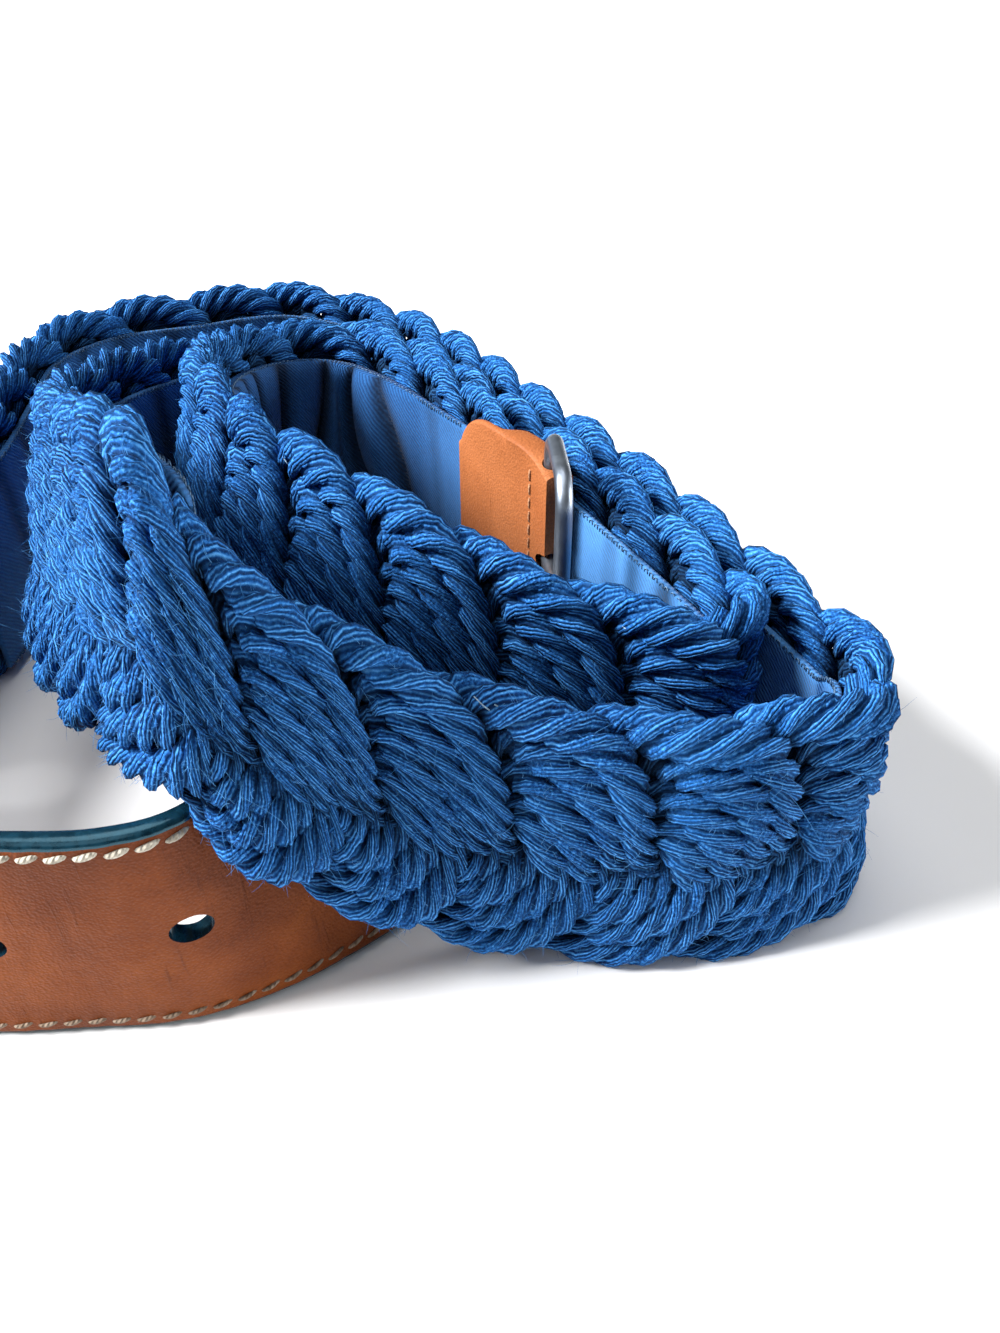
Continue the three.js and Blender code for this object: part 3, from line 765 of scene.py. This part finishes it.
def build_strap():
    """The strap with its painted edges and its row of holes."""
    long = strap_track.length
    middle = STRAP_WIDTH / 2
    stations = np.append(np.arange(0, long, 1.0), long)
    rings = np.array([flat_section(strap_outline(s, long), middle, -STRAP_WALL / 2, STRAP_WALL / 2, STRAP_RIM,
                                   STRAP_FACE, STRAP_EDGE) for s in stations])
    crease = 0.06 * np.sin(stations * 1.7) * np.sin(stations * 0.37 + 1)
    on_face = np.sign(rings[..., 1]) * (np.abs(rings[..., 1]) > STRAP_WALL / 2 - 0.1)
    builder = leather_body(strap_track, stations, rings, crease[:, None] * on_face)
    painted = np.zeros(rings.shape[1], int)
    painted[STRAP_FACE - 1:STRAP_FACE + STRAP_EDGE] = 1
    painted[2 * STRAP_FACE + STRAP_EDGE:] = 1
    builder.kinds = np.tile(painted, len(stations) - 1).tolist() + [1, 1]
    piece = builder.piece("strap_leather_body", [strap_leather, paint])
    cutters = Builder()
    turn = np.arange(HOLE_SIDES) * 2 * np.pi / HOLE_SIDES
    for number in range(HOLES):
        ring_s = long - FIRST_HOLE - number * HOLE_PITCH + np.cos(turn) * HOLE_LONG / 2
        ring_v = middle + np.sin(turn) * HOLE_HIGH / 2
        ring = strap_track.place(ring_s[None, :], ring_v[None, :], np.array([[-4.0], [4.0]]))
        cutters.grid(ring, np.zeros((2, HOLE_SIDES + 1, 2)), closed=True, caps=True)
    cut_away(piece, cutters.piece("strap_hole_cutter", [paint]), material_mode="TRANSFER")
    own(piece, "strap_leather", "holed_strap")


def stitch_row(builder, track, start, end, height, face, slant, thick):
    """Plump slanted stitches sunk a little into the leather; height is a function of s."""
    s = start
    while s < end:
        t = np.linspace(0, 1, 7)
        along = s + t * STITCH_PITCH * 0.92
        up = height(along) + slant * (t - 0.5) + rng.normal(0, 0.05)
        depth = face + math.copysign(1, face) * (-0.35 + 0.5 * np.sin(math.pi * t) ** 0.7)
        size = thick * (0.45 + 0.55 * np.sin(math.pi * t) ** 0.5) * MM
        builder.tube(track.place(along, up, depth), size, 7)
        s += STITCH_PITCH


def build_strap_stitches():
    """Thick pale thread along the crest; flattened along the foot, and there painted darker grey: painted shade."""
    long = strap_track.length
    middle = STRAP_WIDTH / 2
    for name, sign, thick, thread in (("crest", 1, 0.48, pale_thread), ("foot", -1, 0.34, shaded_thread)):
        builder = Builder()
        for face in (STRAP_WALL / 2, -STRAP_WALL / 2):
            def height(s):
                return middle + sign * (strap_outline(s, long) - STITCH_INSET)
            stitch_row(builder, strap_track, 3, long - 4, height, face, math.copysign(0.75, face), thick)
        piece = builder.piece("strap_stitches_" + name, [thread])
        own(piece, "strap_leather")


build_strap()
build_strap_stitches()


# End tab

def tab_cut(s, long):
    """How much the tab is narrower on either side at s: rounded at its end, tapered at the fold."""
    near = np.clip(1 - s / TAB_CORNER, 0, 0.94)
    far = np.clip(1 - (long - s) / TAB_CORNER, 0, 1)
    return TAB_CORNER * (1 - np.sqrt(1 - near ** 2)) + TAB_TAPER * far ** 1.4


def build_tab():
    """One layer on the lining, two round the buckle's bar, with a bore for the bar and a slot for the prong."""
    long = tab_track.length
    stations = np.concatenate([np.linspace(0, 4, 9), np.arange(4.7, long, 0.7), [long]])
    rings = []
    for s in stations:
        t = min(max((s - TAB_RISE) / TAB_RISE_LONG, 0), 1)
        outer = TAB_WALL / 2 + (TAB_FOLD - TAB_WALL) * t * t * (3 - 2 * t)
        half = TAB_WIDTH / 2 - float(tab_cut(s, long))
        rings.append(flat_section(half, TAB_WIDTH / 2, -TAB_WALL / 2, outer, TAB_RIM, TAB_FACE, TAB_EDGE))
    piece = leather_body(tab_track, stations, np.array(rings)).piece("tab_leather_body", [tab_leather])
    middle = FRAME_HEIGHT / 2
    cut_away(piece, buckle_cutter("slot", (-2.4, FRAME_LENGTH), (middle, middle), PRONG_HALF + 1, 16),
             buckle_cutter("bore", (0, 0), (-1, FRAME_HEIGHT + 1), FRAME_WIRE + 0.3, 20))
    own(piece, "tab_leather", "buckle_tab")


def buckle_at(forward, height, outwards=0.0):
    """Points in metres in the buckle's own plane: forward from its bar, up it, and out from it."""
    heading = math.radians(BAR_HEADING)
    go = np.array([math.cos(heading), math.sin(heading), 0])
    out = np.array([-go[1], go[0], 0])
    forward, height, outwards = (np.asarray(a, float)[..., None] for a in (forward, height, outwards))
    foot = np.array([BAR_X, BAR_Y, BAR_LIFT])
    return (foot + go * forward + np.array([0, 0, 1.0]) * height + out * outwards + SHIFT) * MM


def buckle_cutter(name, forward, height, radius, sides):
    builder = Builder()
    builder.tube(buckle_at(np.array(forward), np.array(height)), radius * MM, sides)
    return builder.piece(name, [tab_leather])


def build_tab_stitches():
    """A fine row beside the fold."""
    builder = Builder()
    line = tab_track.length - 6.5
    for number in range(12):
        t = np.linspace(0, 1, 5)
        up = 4.5 + number * 2.7 + t * 2.0
        along = line + 0 * t
        builder.tube(tab_track.place(along, up, -TAB_WALL / 2 - 0.02 - 0.14 * np.sin(math.pi * t)), 0.00022, 6)
    piece = builder.piece("tab_stitches", [tan_thread])
    own(piece, "tab_leather")


build_tab()
build_tab_stitches()


# Buckle: one rounded loop with its prong

def build_buckle():
    builder = Builder()
    near, far, top = FRAME_CORNER, FRAME_LENGTH - FRAME_CORNER, FRAME_HEIGHT - FRAME_CORNER
    path = []
    for forward, height, start in ((far, near, -90), (far, top, 0), (near, top, 90), (near, near, 180)):
        for turn in np.radians(start + np.linspace(0, 90, 13)):
            path.append((forward + math.cos(turn) * FRAME_CORNER, height + math.sin(turn) * FRAME_CORNER))
    path = np.array(path)
    go = unit(np.roll(path, -1, 0) - np.roll(path, 1, 0))
    turn = np.arange(WIRE_SIDES) * 2 * np.pi / WIRE_SIDES
    across = np.cos(turn)[None, :] * FRAME_WIRE
    ring = buckle_at(path[:, 0:1] + go[:, 1:2] * across, path[:, 1:2] - go[:, 0:1] * across,
                     np.broadcast_to(np.sin(turn)[None, :] * FRAME_WIRE, (len(path), WIRE_SIDES)))
    ring = np.concatenate([ring, ring[:1]])
    builder.grid(ring, ring_uv(WIRE_SIDES, np.linspace(0, 1, len(ring))), closed=True)
    forward = np.linspace(-1.2, FRAME_LENGTH + 1.0, 16)
    builder.tube(buckle_at(forward, np.full(16, FRAME_HEIGHT / 2), 0.2 * np.sin(forward / 7)),
                 PRONG_HALF * MM * np.interp(forward, [-1.2, 0, 16, 21], [0.9, 1, 0.95, 0.7]), 14)
    piece = builder.piece("buckle_frame_and_prong", [metal])
    fix_normals(piece, weld=True)
    own(piece, "buckle_metal", "buckle")


build_buckle()


# Floor, light and camera

FLOOR_DROP = 0.0002  # metres under the part
LIGHTS = (  # name, where it comes from, strength, angle that it fills in degrees
    ("key", (-0.8, -0.1, 0.6), 10.3, 20), ("top", (-0.1, 0.12, 0.98), 1.5, 45),
    ("front", (-0.2, -0.6, 0.77), 0.3, 35), ("right", (0.86, 0.05, 0.1), 2.6, 20),
)
CAMERA_PLACE = (0.0286, -0.17711, 0.1226)
CAMERA_PITCH = 36.5  # degrees down
PHOTO_HEIGHT = 1333  # pixels
FOCAL_LENGTH = 1000  # pixels
SENSOR = 36


def floor_and_light():
    paper = Nodes("floor_paper")
    colour = paper.grey(paper.noise(3, 2), (0.3, 0.87), (0.7, 0.89))
    paper.finish(colour, 0.9, paper.bump(paper.noise(800, 2), 0.00002, 0.2), Specular_IOR_Level=0.1)
    steps = np.linspace(-3, 3, 13)
    x, y = np.meshgrid(steps, steps, indexing="ij")
    builder = Builder()
    builder.grid(np.stack([x, y, 0 * x - FLOOR_DROP], -1), np.stack([x, y], -1))
    floor = builder.piece("floor", [paper.material])

    world = bpy.data.worlds.new("studio")
    world.use_nodes = True
    background = world.node_tree.nodes["Background"]
    background.inputs["Color"].default_value = (1, 1, 1, 1)
    background.inputs["Strength"].default_value = 0.07
    bpy.context.scene.world = world

    for name, place, power, angle in LIGHTS:
        light = bpy.data.lights.new(name, "SUN")
        light.energy, light.angle = power, math.radians(angle)
        lamp = bpy.data.objects.new(name, light)
        lamp.location = place
        lamp.rotation_mode = "QUATERNION"
        lamp.rotation_quaternion = (-Vector(place)).to_track_quat("-Z", "Y")
        bpy.context.scene.collection.objects.link(lamp)


floor_and_light()

camera_data = bpy.data.cameras.new("camera")
camera_data.sensor_fit = "AUTO"
camera_data.sensor_width = SENSOR
camera_data.lens = SENSOR * FOCAL_LENGTH / PHOTO_HEIGHT
camera_data.clip_start, camera_data.clip_end = 0.005, 20
camera = bpy.data.objects.new("camera", camera_data)
camera.location = CAMERA_PLACE
camera.rotation_euler = (math.radians(90 - CAMERA_PITCH), 0, 0)
bpy.context.scene.collection.objects.link(camera)
bpy.context.scene.camera = camera
bpy.context.scene.view_settings.view_transform = "Standard"
bpy.context.scene.view_settings.look = "None"
